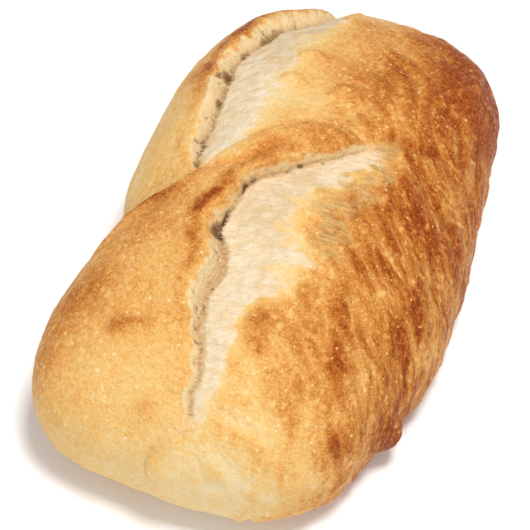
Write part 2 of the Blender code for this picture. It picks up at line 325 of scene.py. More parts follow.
class Slash:
    """A slash that tore open in the oven: a flap with a raised lip on its left, a torn wall down to
    the crack, and a floor that climbs back to the crust on its right. Its measures stand at even
    stations along it, in millimetres."""

    def __init__(self, crust, places, grain, seed, lip, wall, depth, floor, reach):
        self.crust, self.grain, self.seed = crust, grain, seed
        points = crust.points
        self.along, right = CrustLine(places).beside(points, crust.normals)
        lip, wall, depth, floor, reach = (stations(v, self.along) for v in (lip, wall, depth, floor, reach))
        wander = sum(much * lumps(points, size, seed=rag) for much, size, rag in RAGS)
        right = right + wander * (0.4 + 0.6 * smooth((right + wall) / wall))
        self.drawn = stirred(points, 9 * MM, 1.5 * MM, seed + 10)
        inner = right + FRAY * (self.fibre(FRAY_SIZE, 6, 20) + self.fibre(2.3 * FRAY_SIZE, 4, 21))

        crest = lip * hump(np.minimum(right + wall, 0) / FLAP_SPREAD)
        down = smooth((right + wall) / wall)
        bottom = -np.maximum(depth, floor)
        up = smooth(inner / CRACK_WIDTH)
        climb = -floor * (1 - np.clip(right / reach, 0, 1)) ** FLOOR_BULGE
        lift = np.where(right < 0, crest * (1 - down) + bottom * down, bottom * (1 - up) + climb * up)
        crust.height += lift
        self.standing = points + lift[:, None] * MM * crust.normals
        self.right, self.inner, self.wall, self.reach, self.down = right, inner, wall, reach, down
        self.ends = smooth(self.along * SLASH_ENDS) * smooth((1 - self.along) * SLASH_ENDS)

    def fibre(self, width, stretch, seed):
        """Noise from -1 to 1 that is drawn out along the strands of the floor."""
        return strands(self.drawn, self.grain, width, stretch, self.seed + seed)

    def stretch_floor(self, fringe):
        """The floor's stretched fibres, which die out raggedly towards paler skin. The fringe is where
        single strands stand out from its edge."""
        crust, right, reach = self.crust, self.right, self.reach
        ragged = 0.24 * self.fibre(2.4 * MM, 5, 30) + 0.30 * lumps(crust.points, 9 * MM, self.seed + 31)
        ragged += 0.22 * lumps(self.drawn, 4 * MM, self.seed + 32)
        fade = np.minimum(2.0, reach / 6)
        shown = smooth((FLOOR_SHOWN - right / reach + ragged) * fade + 0.1)
        on_floor = smooth(self.inner / 0.8) * shown * self.ends
        for k, (rise, width, stretch) in enumerate(FIBRES):
            crust.height += rise * on_floor * self.fibre(width, stretch, 40 + k)
        crust.show("crumb", on_floor)
        paler = smooth(right / 6) * smooth((reach + 10 - right) / 14)
        crust.look["bake"] -= FLOOR_PALER * paler * self.ends
        crust.look[fringe] = smooth(1.5 - np.abs(self.inner - 0.9)) * self.ends

    def roughen_wall(self, skin, pockets):
        """The wall's torn crumb, below the skin that rolls over its lip. It has small holes, and
        pockets at places on the body, with how wide each is."""
        crust, standing, right, wall = self.crust, self.standing, self.right, self.wall
        bare = (right + wall) / wall - stations(skin, self.along)
        bare += 0.25 * lumps(standing, 2.2 * MM, self.seed + 52)
        on_wall = smooth(bare * 3.5 + 0.3) * smooth(1 - self.inner) * self.ends
        pits = smooth((lumps(standing, PIT_SIZE, self.seed + 50) - 0.45) * 3) * on_wall
        crust.height += on_wall * CRUMB_ROUGH * lumps(standing, CRUMB_SIZE, self.seed + 51)
        crust.height -= PIT_DEPTH * pits
        hollow = np.zeros(len(right))
        uneven = stirred(standing, 3 * MM, 0.8 * MM, self.seed + 53)
        for place, size in pockets:
            middle = standing[np.linalg.norm(crust.points - on_body([place])[0], axis=1).argmin()]
            gap = np.linalg.norm(uneven - middle, axis=1) / MM
            hollow = np.maximum(hollow, np.clip(1.3 - gap / size, 0, 1))
        hollow = hollow * smooth(3 * (right + wall) / wall) * smooth(1 - right)
        crust.height -= POCKET_DEPTH * hollow
        crust.show("wall", on_wall)
        # Painted shade: the wall is darker the farther down it lies towards the crack.
        crust.show("deep", on_wall * self.down)
        # Painted shade in the pockets and in the small pits.
        crust.show("pocket", np.maximum(hollow, PIT_SHADE * pits))

    def open_crack(self, gape, shade):
        """The crack between wall and floor: painted dark and broken where it gapes, partly as shade and
        partly as darker crumb, with painted shade beside it.
        """
        crust, seed = self.crust, self.seed
        gape = stations(gape, self.along)
        broken = smooth(2.2 * lumps(crust.points, 3 * MM, seed + 55) + 2 * gape - 0.9)
        crack = hump((self.right + 0.1) / (0.5 + 0.8 * gape)) * smooth(gape * 3)
        crust.show("dark", crack * broken * self.ends)
        beside = hump(self.inner - 0.2) * (0.9 + 0.6 * lumps(crust.points, 5 * MM, seed + 56))
        crust.show("shade", beside * stations(shade, self.along) * self.ends)

    def toast_lip(self, toast):
        """The lip is toasted in a patchy streak, as the thinnest part of the flap."""
        points, seed = self.crust.points, self.seed
        streak = hump((self.right + self.wall + TOAST_BACK) / TOAST_WIDTH) * stations(toast, self.along)
        patchy = 0.9 + 0.5 * lumps(points, 5 * MM, seed + 60) + 0.4 * lumps(points, 2.2 * MM, seed + 61)
        self.crust.look["bake"] += streak * patchy


def tear_near_slash(crust):
    slash = Slash(
        crust, NEAR_SLASH, NEAR_GRAIN, seed=1,
        lip=(0.3, 0.5, 1, 1.5, 2.5, 3, 3, 3, 3, 2.5, 1.5, 0),
        wall=(1.5, 3, 4.4, 3.6, 8, 8, 5.6, 2, 2.2, 3, 2.5, 2),
        depth=(0.8, 2, 2.8, 4, 6, 7, 5, 4, 4, 3.5, 2.5, 0),
        floor=(0, 1, 2, 3, 4, 4.5, 4, 3.5, 3.5, 3, 2, 0),
        reach=(4, 7, 9, 13, 21, 30, 31, 28, 22, 16, 11, 7),
    )
    slash.stretch_floor("near_fringe")
    slash.roughen_wall(
        skin=(0, 0.1, 0.1, 0.1, 0.1, 0.1, 0.5, 0.5, 0.45, 0.4, 0.3, 0),
        pockets=(((-21, -24), 4.6), ((-19.5, -14), 2), ((-16, 3.5), 2.4), ((-11.5, -55), 1.6)),
    )
    slash.open_crack(
        gape=(0, 0.12, 0.15, 0.2, 0.25, 0.25, 0.8, 0.6, 0.35, 0.45, 0.2, 0),
        shade=(0, 0, 0.1, 0.15, 0.25, 0.35, 0.9, 1, 0.8, 0.6, 0.4, 0),
    )
    slash.toast_lip((0, 0, 0.05, 0.1, 0.16, 0.24, 0.42, 0.36, 0.08, 0.04, 0, 0))


def tear_far_slash(crust):
    slash = Slash(
        crust, FAR_SLASH, FAR_GRAIN, seed=2,
        lip=(0, 1.5, 2, 2.5, 3, 3, 3, 3, 2.2, 1, 0),
        wall=(2, 4, 5, 5, 4.5, 4.5, 7, 7.5, 5, 3, 2),
        depth=(0, 5, 6, 6, 5.5, 5.5, 7, 6, 5, 3.5, 0),
        floor=(0, 3.5, 4, 4, 4, 4, 4.5, 4.5, 4.5, 3.5, 0),
        reach=(8, 16, 22, 26, 28, 28, 25, 20, 11, 7, 5),
    )
    slash.stretch_floor("far_fringe")
    slash.roughen_wall(
        skin=(0.2, 0.2, 0.1, 0.1, 0.1, 0.3, 0.1, 0.1, 0.1, 0.1, 0),
        pockets=(
            ((-40.5, 7), 3.6), ((-45, 20), 2.4), ((-47, 42), 2.8), ((-51, 54.5), 2.2),
            ((-49.5, 58), 3.4), ((-47.5, 75), 3), ((-41.5, 87), 5.5), ((-38, 92), 5),
        ),
    )
    slash.open_crack(
        gape=(0, 0.5, 0.2, 0.2, 0.4, 0.3, 0.6, 0.3, 0, 0, 0),
        shade=(0.5, 0.9, 0.8, 0.9, 1, 0.8, 1, 0.8, 0.4, 0.2, 0),
    )
    slash.toast_lip((0, 0.15, 0.05, 0.18, 0.32, 0.25, 0.36, 0.26, 0.12, 0, 0))


# Its folds of crust, its creases, wrinkles and short ridges, and a dark lobe low on its flank.
LINE_BLUR = 1.5 * MM  # how softly a fold or furrow passes from one station to the next
FOLD_BACK, FRONT_FOLD_BACK = 26, 12  # how far back the folds of crust are lifted
FURROW_REACH = 14 * MM  # nothing farther than this from a furrow's line is changed
# The browning beside creases and wrinkles is painted shade; beside ridges it is real browning.
CREASE_DEPTH, CREASE_WIDTH, CREASE_SHADE_BROWN = 2.4, 2.2, 0.15
WRINKLE_DEPTH, WRINKLE_WIDTH, WRINKLE_SHADE_BROWN = 1.5, 2.0, 0.16
RIDGE_RISE, RIDGE_WIDTH, RIDGE_BROWN = 1.3, 2.2, 0.12
KNOB = (68, -56, 20)
KNOB_HALF = (7, 6, 12)
KNOB_RISE = 6


def fold(crust, places, height, front, back, brown):
    """A fold of crust whose left side stands height proud over a front of that width, and sinks back
    to the body over a longer back. It is that much browner on its crest, and paler under it."""
    along, right = CrustLine(places).beside(crust.points, crust.normals, blur=LINE_BLUR)
    height, front, brown = (stations(values, along) for values in (height, front, brown))
    raised = np.where(right < 0, hump(right / back), 0) * smooth(-right / front)
    crease = 0.3 * hump(right / (0.5 * front))
    crust.height += height * (raised - crease)
    patchy = 1 + 0.6 * lumps(crust.points, 5 * MM, seed=61)
    crust.look["bake"] += brown * hump((right + front + 1.5) / 4) * patchy
    crust.look["bake"] -= 0.7 * brown * hump((right - 0.5 * front) / 6) * smooth(right / front + 0.5)


def furrow(crust, places, rise, width, brown):
    """A long ridge, or a furrow where it rises less than nothing, that dies out at both ends. The crust
    beside it is browner: real browning along a ridge, painted shade along a crease or wrinkle."""
    line = CrustLine(places, FURROW_REACH)
    along, right = line.beside(crust.points, crust.normals, blur=LINE_BLUR)
    ends = smooth(along * FURROW_ENDS) * smooth((1 - along) * FURROW_ENDS)
    crust.look["bake"] += brown * ends * hump((right + 0.4 * width) / width)
    crust.height += rise * ends * hump(right / width)


def fold_and_crease(crust):
    fold(
        crust, FLAP_EDGE, back=FOLD_BACK,
        height=(0, 1.5, 2.5, 3, 3, 2.5, 2.5, 3.5, 4, 3.5, 2.5, 2, 1.5, 0),
        front=(6, 6, 5, 4, 4, 4, 2.5, 2, 2, 2.2, 3, 4, 5, 6),
        brown=(0, 0.02, 0.03, 0.04, 0.03, 0.02, 0.08, 0.14, 0.16, 0.14, 0.1, 0.08, 0.05, 0),
    )
    fold(
        crust, UNDER_FOLD, back=FOLD_BACK,
        height=(0, 0.5, 1.5, 2, 2, 1, 0), front=(5, 5), brown=(0, 0.04, 0.04, 0),
    )
    fold(
        crust, FRONT_FOLD, back=FRONT_FOLD_BACK,
        height=(0, 0.8, 1.2, 1.6, 1.8, 1.4, 0.7, 0), front=(2, 2), brown=(0, 0.06, 0.06, 0),
    )
    # Creases and wrinkles get painted shade as browner crust beside them.
    for places in (BAND_CREASE, STAR_CREASE):
        furrow(crust, places, -CREASE_DEPTH, CREASE_WIDTH, CREASE_SHADE_BROWN)
    for places in WRINKLES:
        furrow(crust, places, -WRINKLE_DEPTH, WRINKLE_WIDTH, WRINKLE_SHADE_BROWN)
    for places in RIDGES:
        furrow(crust, places, RIDGE_RISE, RIDGE_WIDTH, RIDGE_BROWN)
    crust.height += KNOB_RISE * hump(np.linalg.norm((crust.points / MM - KNOB) / KNOB_HALF, axis=1))


# Its skin: the lumps of the whole crust, the fine folds of its right half, and its blisters.
LUMPS = ((0.8, 24 * MM), (0.4, 10 * MM), (0.16, 4.5 * MM))  # height and size
SKIN_FOLDS = ((1.6, 8 * MM, 2.5), (1.0, 4 * MM, 3))  # height, size and stretch
FLANK_WRINKLES = ((0.7, 3.6 * MM, 6), (0.3, 2.0 * MM, 5))
FOLDS_BROWN = 0.24  # how much browner the crests of those folds are
BLISTER_RISE, BLISTER_SIZE, BLISTER_SHARE = 0.3, 3.6 * MM, 0.5


def roughen_skin(crust):
    x, y = crust.x, crust.y
    for seed, (rise, size) in enumerate(LUMPS, start=1):
        crust.height += rise * lumps(crust.points, size, seed)

    whole = 1 - crust.torn()
    flank = smooth((x - 26 + 0.35 * np.minimum(0, y + 20)) / 22) * (1 - 0.7 * smooth((y - 40) / 30))
    crust.look["flank"] = flank * whole
    right_half = smooth((x + 4) / 18) * whole * (1 - 0.5 * crust.look["flank"])
    folds = [(right_half, *measures) for measures in SKIN_FOLDS]
    folds += [(crust.look["flank"], *measures) for measures in FLANK_WRINKLES]
    for seed, (share, rise, size, stretch) in enumerate(folds, start=4):
        ridge = share * (np.abs(strands(crust.stirred, FLANK_GRAIN, size, stretch, seed)) - 0.25)
        crust.height += rise * ridge
        crust.look["bake"] += FOLDS_BROWN * ridge

    left_end = smooth((-44 - x) / 12) * smooth((10 - y) / 30)
    blistered = 0.35 + 0.65 * np.maximum(smooth((x + 20) / 40), left_end)
    uneven = stirred(crust.points, 4 * MM, 0.8 * MM, seed=80)
    rounds = blisters(uneven, BLISTER_SIZE, BLISTER_SHARE, seed=7)
    crust.look["blister"] = rounds * blistered * whole
    crust.height += BLISTER_RISE * crust.look["blister"]


# How brown it is baked: places, with how far round each and how much it is browner than the rest.
BROWN_SPOTS = (
    # the far end and its shoulder
    ((32, 101), 26, 0.20), ((58, 92), 20, 0.42), ((66, 96, 40), 20, 0.12), ((38, 68), 20, 0.12),
    ((8, 72), 18, 0.18), ((18, 52), 10, 0.06), ((5, 96), 12, 0.10),
    # between the slashes, and right of the near one
    ((2, 33), 8, 0.10), ((2, 28), 12, 0.08), ((-13, 15), 7, 0.14), ((22, -5), 16, 0.10),
    ((22, -48), 12, 0.14), ((45, 10), 22, 0.10), ((42, -18), 8, 0.20), ((37, -41), 9, 0.14),
    ((46, -47), 8, 0.10), ((42, -62), 8, 0.16), ((58, -45, 58), 10, 0.06),
    # the near right corner and the flank
    ((33, -78), 9, 0.10), ((52, -84), 7, 0.18), ((37, -102), 8, 0.12), ((66, -27, 55), 8, 0.14),
    ((62, 11, 61), 7, 0.10), ((68, -56, 22), 11, 0.42),
    # the near flap
    ((-26, -2), 5, 0.16), ((-27, -13), 4, 0.10), ((-45, -15), 14, 0.14), ((-50, -38), 14, 0.11),
    ((-61, -55), 12, 0.14), ((-65, -67), 14, 0.12), ((-66, -80), 14, 0.06), ((-68, -91), 12, 0.06),
    ((-42, -75), 6, 0.18), ((-20, -101), 6, 0.20),
    # the far flap
    ((-60, 54), 7, 0.28), ((-50, 83), 9, 0.28), ((-52, 100), 7, 0.18),
)
# The same, where it stayed paler: the near end, the left side, and beside the floors of the slashes.
PALE_SPOTS = (
    ((30, -125, 26), 34, 0.30), ((-12, -125, 30), 34, 0.24), ((-40, -118, 30), 30, 0.10),
    ((-60, 12, 50), 30, 0.18), ((-64, 40, 40), 26, 0.12), ((25, 50), 16, 0.04), ((-8, 57), 12, 0.18),
    ((22, -98), 12, 0.10), ((46, -98, 40), 10, 0.10), ((-11, 46), 8, 0.10),
)
# Where the skin is translucent, and where the crumb of the floors is painted greyer and dimmer as slight
# shade, with how far round.
THIN_SPOTS = (((24, 15), 10), ((19, 0), 9), ((24, -13), 7), ((29, 38), 6), ((30, 26), 6))
DIM_SHADE_SPOTS = (((-2, -8), 14), ((2, 8), 10), ((-22, 88), 12), ((-30, 72), 9))
BAKE, BASE_BAKE, DARKEST = 0.47, 0.62, 0.94  # away from all spots, on the base, and at the most
FLANK_BAKE = 0.18  # how much browner the right flank is
PATCHES = ((0.07, 22 * MM, 71), (0.05, 9 * MM, 72))  # how uneven it is baked, with size and seed
FOOT_FROM, FOOT_TO = 1 * MM, 5 * MM  # heights between which the base's look gives way to the side's


def bake_crust(crust):
    points = crust.points
    bake = crust.look["bake"] + BAKE + FLANK_BAKE * smooth((crust.x - 10) / 45)
    for sign, spots in ((1, BROWN_SPOTS), (-1, PALE_SPOTS)):
        for place, size, much in spots:
            away = np.linalg.norm(points - on_body([place])[0], axis=1)
            bake += sign * much * hump(away / (size * MM))
    for much, size, seed in PATCHES:
        bake += much * lumps(points, size, seed)

    ragged = 0.5 * lumps(points, 4 * MM, seed=74)
    # The dim spots are painted slight shade on the floors' crumb.
    for name, spots in (("thin", THIN_SPOTS), ("dim_shade", DIM_SHADE_SPOTS)):
        for place, size in spots:
            away = np.linalg.norm(crust.stirred - on_body([place])[0], axis=1) / (size * MM)
            crust.show(name, smooth(1.5 - away + ragged))

    side = smooth((points[:, 2] - FOOT_FROM) / (FOOT_TO - FOOT_FROM))
    for name in crust.look:
        crust.look[name] = crust.look[name] * side
    crust.look["bake"] = np.minimum(bake, DARKEST) * side + BASE_BAKE * (1 - side)


# Its mesh: a cube cut into an even grid, drawn out to the body, crowded along the slashes, and then
# lifted to the finished crust. The flat base is one face.
GRID = (196, 318, 30)  # faces along each axis
GRID_WALL = 0.5  # how tall the grid's side walls stand
CROWDING, CROWDED_WIDTH = 0.5, 9 * MM
BASE_DEPTH = 0.01 * MM


def vertex_normals(mesh):
    normals = np.zeros(len(mesh.vertices) * 3)
    mesh.vertices.foreach_get("normal", normals)
    return normals.reshape(-1, 3)


def move_to(mesh, points):
    mesh.vertices.foreach_set("co", points.astype(np.float32).ravel())
    mesh.update()


def gridded_cube(name):
    """A cube from -1 to 1 whose faces are cut into an even grid along each axis."""
    bm = bmesh.new()
    bmesh.ops.create_cube(bm, size=2)
    for axis, faces in enumerate(GRID):
        runs = [e for e in bm.edges if abs((e.verts[0].co - e.verts[1].co)[axis]) > 1e-6]
        bmesh.ops.subdivide_edges(bm, edges=runs, cuts=faces - 1, use_grid_fill=True)
    mesh = bpy.data.meshes.new(name)
    bm.to_mesh(mesh)
    bm.free()
    return mesh


def draw_out(mesh):
    """The cube's points moved out to the plain body, at even angles round its middle, and then
    crowded towards the slashes."""
    cube = np.zeros(len(mesh.vertices) * 3)
    mesh.vertices.foreach_get("co", cube)
    cube = np.tan(cube.reshape(-1, 3) * np.pi / 4)
    half = np.array([WIDTH / 2, LENGTH / 2, GRID_WALL * HEIGHT])
    points = body(cube * half + (0, 0, BELLY))
    for places in (NEAR_SLASH, FAR_SLASH):
        points = CrustLine(places).drawn_in(points, CROWDING, CROWDED_WIDTH)
    move_to(mesh, points)
    return points


def join_base(mesh):
    """All faces that lie on the floor made one."""
    bm = bmesh.new()
    bm.from_mesh(mesh)
    flat = [f for f in bm.faces if all(v.co.z < BASE_DEPTH for v in f.verts)]
    bmesh.ops.dissolve_faces(bm, faces=flat, use_verts=True)
    bm.to_mesh(mesh)
    bm.free()


def build_loaf():
    """The loaf, with its base on the floor and its middle over that of the frame's loaf."""
    mesh = gridded_cube("loaf_crust")
    points = draw_out(mesh)
    normals = vertex_normals(mesh)
    crust = Crust(points, normals)
    for step in (tear_near_slash, tear_far_slash, fold_and_crease, roughen_skin, bake_crust):
        step(crust)
    points = points + crust.height[:, None] * MM * normals
    points[:, 2] = np.maximum(points[:, 2], 0)
    low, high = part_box("loaf")
    middle = (points.min(0) + points.max(0)) / 2
    points[:, :2] += (np.array((low + high) / 2) - middle)[:2]
    move_to(mesh, points)
    for name, values in crust.look.items():
        attribute = mesh.attributes.new(name, "FLOAT", "POINT")
        attribute.data.foreach_set("value", values.astype(np.float32))
    join_base(mesh)
    mesh.shade_smooth()
    loaf = bpy.data.objects.new("loaf_crust", mesh)
    bpy.context.collection.objects.link(loaf)
    return loaf


# Its crust: golden where the skin dried, brown to red-brown where the oven caught it, cream where the
# inside of the dough was torn open. Colours are what the eye sees in even white light.
BAKE_COLOURS = (
    (0.00, (249, 224, 174)), (0.22, (248, 209, 139)), (0.42, (245, 190, 109)), (0.57, (232, 161, 86)),
    (0.72, (205, 131, 55)), (0.86, (183, 97, 37)), (1.00, (144, 60, 23)),
)
# The crumb of the walls: lighter at the lip, with painted shade that darkens it down towards the crack.
WALL_SHADE_COLOURS = (
    (0.0, (252, 224, 170)), (0.5, (248, 217, 166)), (0.8, (236, 202, 150)), (1.0, (208, 170, 122)),
)
# Painted shade in the hollows of the crumb, darkest in their cores.
POCKET_SHADE_COLOURS = ((0.2, (200, 164, 120)), (0.55, (180, 142, 100)), (1.0, (134, 97, 66)))
FIBRE_LIGHT, FIBRE_DARK = (251, 233, 202), (236, 204, 156)
THIN_COLOUR, THIN_STREAK = (190, 148, 88), (226, 186, 122)
SHADE_COLOUR = (186, 144, 98)
# Painted slight shade on the floors' crumb.
DIM_SHADE_COLOUR = (228, 198, 152)
# Painted shade in the depths of the crack, partly darker crumb.
CRACK_SHADE_COLOUR = (98, 58, 34)
SHINE, SHINE_COLOUR = 0.14, (255, 226, 180)
ROUGHNESS, CRUMB_ROUGHER, MOTTLE_ROUGHER = 0.5, 0.4, 0.4

# How uneven the browning is: size in millimetres, how much on the flank, how much more off it.
MOTTLE_SIZE, MOTTLE, MOTTLE_OFF_FLANK = 2.4, 0.06, 0.04
GRAIN_SIZE, GRAIN, GRAIN_OFF_FLANK = 1.1, 0.10, 0.02
DUST_SIZE, DUST = 0.45, 0.5
FINE_STREAK_SIZE, FINE_STREAK = 0.9, 0.09
BROAD_STREAK_SIZE, BROAD_STREAK = 2.4, 0.08
STREAK_STRETCH, FIBRE_STRETCH = 7, 10

# Small pale flecks, partly tiny blisters of dry skin and partly painted glints of light, and short painted
# highlight strokes on the flank: how far apart they are in millimetres, and how much paler.
GLINTING_FLECKS_APART, LARGE_GLINTING_FLECKS_APART, HIGHLIGHT_STROKES_APART = 1.6, 4.0, 1.6
GLINTING_FLECK_PALER, HIGHLIGHT_STROKE_SHARE, BLISTER_PALER = 0.42, 0.6, 0.22

# How deep the unevenness of each surface is, in millimetres.
SKIN_RELIEF, RIPPLE_RELIEF, STREAK_RELIEF, FIBRE_RELIEF, CRUMB_RELIEF = 1.2, 1.5, 0.7, 0.45, 0.6


def paint(red, green, blue):
    """A colour as the eye sees it, from 0 to 255, as light from 0 to 1."""
    values = np.array([red, green, blue]) / 255
    linear = np.where(values <= 0.04045, values / 12.92, ((values + 0.055) / 1.055) ** 2.4)
    return (*linear, 1)


class Finish:
    """A material in the making, with short names for the nodes that it's made of."""

    def __init__(self, name):
        self.material = bpy.data.materials.new(name)
        self.material.use_nodes = True
        self.tree = self.material.node_tree
        self.shader = self.tree.nodes["Principled BSDF"]
        self.place = self.tree.nodes.new("ShaderNodeTexCoord").outputs["Object"]

    def give(self, socket, value):
        """Sets a socket to a value, or links it to another socket."""
        if isinstance(value, bpy.types.NodeSocket):
            self.tree.links.new(value, socket)
        else:
            socket.default_value = value

    def reckon(self, operation, *values, clamp=False):
        node = self.tree.nodes.new("ShaderNodeMath")
        node.operation = operation
        node.use_clamp = clamp
        for socket, value in zip(node.inputs, values):
            self.give(socket, value)
        return node.outputs[0]

    def plus(self, first, *others):
        for other in others:
            first = self.reckon("ADD", first, other)
        return first

    def less(self, first, second):
        return self.reckon("SUBTRACT", first, second)

    def times(self, first, second, clamp=False):
        return self.reckon("MULTIPLY", first, second, clamp=clamp)

    def most(self, first, second):
        return self.reckon("MAXIMUM", first, second)

    def mix(self, share, low, high):
        """The colour low, with that share of the colour high in it."""
        node = self.tree.nodes.new("ShaderNodeMix")
        node.data_type = "RGBA"
        self.give(node.inputs["Factor"], share)
        self.give(node.inputs["A"], low)
        self.give(node.inputs["B"], high)
        return node.outputs["Result"]

    def field(self, name):
        """One of the values that the mesh carries at each point."""
        node = self.tree.nodes.new("ShaderNodeAttribute")
        node.attribute_name = name
        return node.outputs["Fac"]

    def drawn_out(self, across, stretch):
        """The place on the loaf squeezed along strands that lie square to a direction."""
        node = self.tree.nodes.new("ShaderNodeMapping")
        node.vector_type = "TEXTURE"
        self.give(node.inputs["Vector"], self.place)
        node.inputs["Rotation"].default_value = Vector(across).to_track_quat("X", "Z").to_euler()
        node.inputs["Scale"].default_value = (1, stretch, stretch)
        return node.outputs["Vector"]

    def noise(self, size, detail=2, rough=0.5, place=None, warp=0):
        """Cloudy noise from 0 to 1 with clouds about size across, in millimetres."""
        node = self.tree.nodes.new("ShaderNodeTexNoise")
        self.give(node.inputs["Vector"], place or self.place)
        node.inputs["Scale"].default_value = 1 / (size * MM)
        node.inputs["Detail"].default_value = detail
        node.inputs["Roughness"].default_value = rough
        node.inputs["Distortion"].default_value = warp
        return node.outputs["Fac"]

    def cells(self, size):
        """How far each place is from the middle of its cell, for cells about size across, in
        millimetres: 0 in each middle."""
        node = self.tree.nodes.new("ShaderNodeTexVoronoi")
        self.give(node.inputs["Vector"], self.place)
        node.inputs["Scale"].default_value = 1 / (size * MM)
        return node.outputs["Distance"]

    def line(self, value):
        """0 where a noise passes through its middle, which draws it as thin winding lines."""
        return self.reckon("ABSOLUTE", self.less(value, 0.5))

    def between(self, value, low, high):
        """0 where the value is low, 1 where it is high, with an even ease between."""
        node = self.tree.nodes.new("ShaderNodeMapRange")
        node.interpolation_type = "SMOOTHSTEP"
        self.give(node.inputs["Value"], value)
        node.inputs["From Min"].default_value = low
        node.inputs["From Max"].default_value = high
        return node.outputs["Result"]

    def patches(self, value, edge):
        """A noise hardened into patches of -0.5 and 0.5, with an ease that wide to each side."""
        return self.less(self.between(value, 0.5 - edge, 0.5 + edge), 0.5)

    def ramp(self, value, stops):
        """The colours of the stops, mixed by where the value lies between them."""
        node = self.tree.nodes.new("ShaderNodeValToRGB")
        elements = node.color_ramp.elements
        while len(elements) < len(stops):
            elements.new(1)
        for element, (position, colour) in zip(elements, stops):
            element.position = position
            element.color = paint(*colour)
        self.give(node.inputs["Fac"], value)
        return node.outputs["Color"]

    def bump(self, height, depth, under=None):
        """A height from 0 to 1, as deep as that in millimetres."""
        node = self.tree.nodes.new("ShaderNodeBump")
        node.inputs["Distance"].default_value = depth * MM
        self.give(node.inputs["Height"], height)
        if under:
            self.give(node.inputs["Normal"], under)
        return node.outputs["Normal"]


def browned_skin(make, mottle, fine, broad, along_flank):
    """The colour of the skin: its browning, mottled, with streaks on the flank, its small pale blisters,
    and pale flecks that are partly blisters and partly painted glints, with short painted highlight strokes
    on the flank."""
    flank = make.field("flank")
    off_flank = make.less(1, flank)
    grain = make.patches(make.noise(GRAIN_SIZE, detail=3, rough=0.6), 0.12)
    fine_streaks = make.times(make.patches(fine, 0.14), FINE_STREAK)
    broad_streaks = make.times(make.patches(broad, 0.16), BROAD_STREAK)
    dust = make.less(make.noise(DUST_SIZE, detail=2, rough=0.6), 0.5)
    level = make.plus(
        make.field("bake"),
        make.times(mottle, make.plus(MOTTLE, make.times(off_flank, MOTTLE_OFF_FLANK))),
        make.times(grain, make.plus(GRAIN, make.times(off_flank, GRAIN_OFF_FLANK))),
        make.times(make.plus(fine_streaks, broad_streaks), flank),
        make.times(dust, DUST),
    )
    uneven = make.times(mottle, 0.12)
    # Painted glints: small pale flecks, partly tiny blisters, and thin pale strokes along the flank's
    # wrinkles as painted highlights.
    small = make.between(make.plus(make.cells(GLINTING_FLECKS_APART), uneven), 0.26, 0.10)
    large = make.between(make.plus(make.cells(LARGE_GLINTING_FLECKS_APART), uneven), 0.15, 0.07)
    winding = make.line(make.noise(HIGHLIGHT_STROKES_APART, detail=1, place=along_flank, warp=0.8))
    highlight_strokes = make.times(make.times(make.between(winding, 0.035, 0.01), flank), HIGHLIGHT_STROKE_SHARE)
    somewhere = make.between(make.noise(3.0, detail=3), 0.46, 0.62)
    glinting_flecks = make.most(make.times(make.most(small, highlight_strokes), somewhere), large)
    paler = make.most(make.times(glinting_flecks, GLINTING_FLECK_PALER), make.times(make.field("blister"), BLISTER_PALER))
    return make.ramp(make.less(level, paler), BAKE_COLOURS)


def thin_skin(make, skin, fibres):
    """Patches of skin stretched so thin that the crumb under it shows through."""
    stretched = make.mix(make.between(fibres, 0.38, 0.62), paint(*THIN_COLOUR), paint(*THIN_STREAK))
    patchy = make.times(make.between(make.noise(4, detail=4, rough=0.65), 0.36, 0.56), 0.85)
    return make.mix(make.times(make.field("thin"), patchy), skin, stretched)


def torn_floor(make, skin, fibres):
    """The stretched fibres of the floors, which end raggedly in the skin."""
    crumb = make.field("crumb")
    drift = make.noise(5, detail=3, rough=0.6)
    tone = make.plus(make.times(fibres, 0.6), make.times(drift, 0.4))
    floor = make.mix(make.between(tone, 0.36, 0.62), paint(*FIBRE_DARK), paint(*FIBRE_LIGHT))
    # Painted slight shade: the floor greyer and dimmer at those spots, most where its fibres are darker.
    dim_shade = make.times(make.field("dim_shade"), make.between(tone, 0.75, 0.35))
    floor = make.mix(dim_shade, floor, paint(*DIM_SHADE_COLOUR))
    frayed = make.plus(make.times(make.less(fibres, 0.5), 1.8), make.times(make.less(drift, 0.5), 0.8))
    edge = make.plus(crumb, make.times(frayed, make.between(crumb, 0.0, 0.3)))
    return make.mix(make.between(edge, 0.0, 1.0), skin, floor)


def torn_wall(make, colour, tear):
    """The crumb of the walls, painted darker towards the crack as shade, with painted shade beside the
    crack and in its pockets, and the crack painted dark, partly as shade and partly as darker crumb.
    """
    wall_shade_and_grain = make.plus(make.field("deep"), make.times(tear, 0.7))
    colour = make.mix(make.field("wall"), colour, make.ramp(wall_shade_and_grain, WALL_SHADE_COLOURS))
    shadow = make.times(make.field("shade"), make.plus(0.6, tear))
    colour = make.mix(make.times(shadow, 0.9, clamp=True), colour, paint(*SHADE_COLOUR))
    hollow = make.times(make.field("pocket"), make.plus(1, make.times(tear, 1.5)))
    colour = make.mix(make.between(hollow, 0.15, 0.5), colour, make.ramp(hollow, POCKET_SHADE_COLOURS))
    return make.mix(make.between(make.field("dark"), 0.15, 0.95), colour, paint(*CRACK_SHADE_COLOUR))


